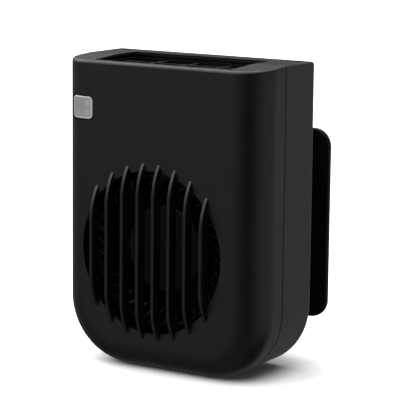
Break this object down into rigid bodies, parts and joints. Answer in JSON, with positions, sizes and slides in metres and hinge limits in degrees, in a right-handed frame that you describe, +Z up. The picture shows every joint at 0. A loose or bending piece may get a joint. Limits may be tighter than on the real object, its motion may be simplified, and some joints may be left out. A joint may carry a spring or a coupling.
{
  "type": "boot dryer",
  "caption": "Pocket clip-on electric blower with a louvred round intake, drum fan, slotted top outlet, corner power button and a broad sprung clip.",
  "frame": {"origin": "on the flat base, at the middle of the width and of the housing depth", "axes": "+X to the right seen from the intake side, +Y from the intake face towards the clip, +Z up to the air outlet"},
  "size_m": [0.0824, 0.0594, 0.11],
  "materials": {
    "housing": "fine spark-eroded texture, satin",
    "duct": "moulded black",
    "fan": "moulded black, satin hub",
    "frosted_cap": "frosted translucent grey",
    "steel": "zinc-plated",
    "core_steel": "stamped laminations",
    "magnet": "bonded ferrite",
    "copper": "enamelled copper wire",
    "alloy": "die-cast",
    "cell_film": "foil pouch",
    "foam": "closed-cell foam",
    "board": "green laminate",
    "chips": "moulded component bodies",
    "lamp": "white lamp bodies",
    "wire": "insulated stranded wire",
    "clip_black": "deep black, fine texture",
    "grip_rubber": "soft black"
  },
  "bodies": {
    "housing": {"front_shell": "housing", "rear_shell": "housing", "shell_screws": "steel", "fan_duct": "duct", "outlet_frame": "duct", "guard_slats": "duct", "guard_ribs": "duct", "motor_base": "alloy", "motor_bearings": "steel", "stator_core": "core_steel", "stator_windings": "copper", "motor_board": "board", "motor_screws": "steel", "motor_leads": "wire", "battery_cell": "cell_film", "battery_pads": "foam", "battery_leads": "wire", "main_board": "board", "board_chips": "chips", "board_screws": "steel", "usb_socket": "steel", "tact_switch": "chips", "switch_board": "board", "status_lights": "lamp", "switch_leads": "wire", "clip_pin": "steel"},
    "fan": {"fan_wheel": "fan", "rotor_can": "core_steel", "rotor_magnet": "magnet", "motor_shaft": "steel", "shaft_clip": "steel"},
    "button": {"power_button": "frosted_cap", "switch_plunger": "chips"},
    "clip": {"clip_plate": "clip_black", "clip_grip": "grip_rubber", "clip_spring": "steel"}
  },
  "joints": [
    {"name": "fan_spin", "type": "hinge", "parent": "housing", "child": "fan", "pos_m": [-0.002, 0, 0.0433], "axis": [0, 1, 0], "continuous": true},
    {"name": "button_press", "type": "slide", "parent": "housing", "child": "button", "axis": [0.2317, 0.9728, 0], "range_m": [0, 0.0006], "stiffness_N_per_m": 400, "springref_m": -0.001},
    {"name": "clip_open", "type": "hinge", "parent": "housing", "child": "clip", "pos_m": [0, 0.0286, 0.07], "axis": [1, 0, 0], "range_deg": [0, 22], "stiffness_Nm_per_rad": 0.35, "springref_deg": -22.92}
  ]
}
